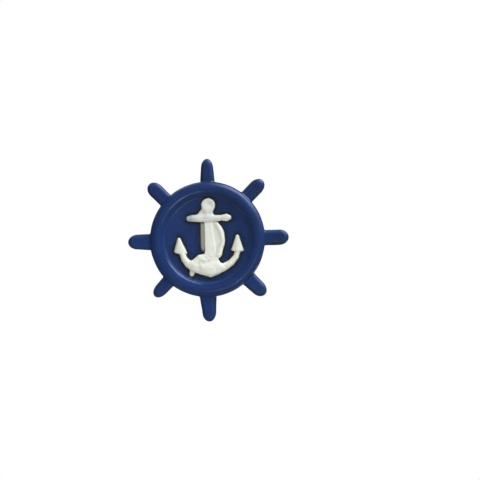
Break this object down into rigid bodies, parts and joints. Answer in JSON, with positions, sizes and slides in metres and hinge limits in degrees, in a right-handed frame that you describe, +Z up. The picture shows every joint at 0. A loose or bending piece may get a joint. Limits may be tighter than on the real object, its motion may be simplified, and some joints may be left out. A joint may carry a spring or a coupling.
{
  "type": "sew on button",
  "caption": "Round shank button shaped as a ship's wheel with eight handles, an anchor with rope in its dished front, and a thread ring on the back.",
  "frame": {"origin": "centre of the thread eye in the shank ring, on the wheel's axis behind the button", "axes": "+X right seen from the front and along the thread's path through the eye, +Y towards the back, +Z up with the anchor upright; the front faces -Y"},
  "size_m": [0.025, 0.0084, 0.0253],
  "materials": {
    "navy_plastic": "smooth injection-moulded plastic, navy all the way through, soft gloss",
    "anchor_white": "off-white moulded plastic, satin, slightly uneven relief",
    "back_white": "off-white moulded plastic, satin, faint tool marks",
    "shank_white": "off-white moulded plastic, smooth, soft gloss"
  },
  "bodies": {
    "root": {"wheel": "navy_plastic", "anchor_insert": "anchor_white", "back_plate": "back_white", "shank_loop": "shank_white"}
  },
  "joints": []
}
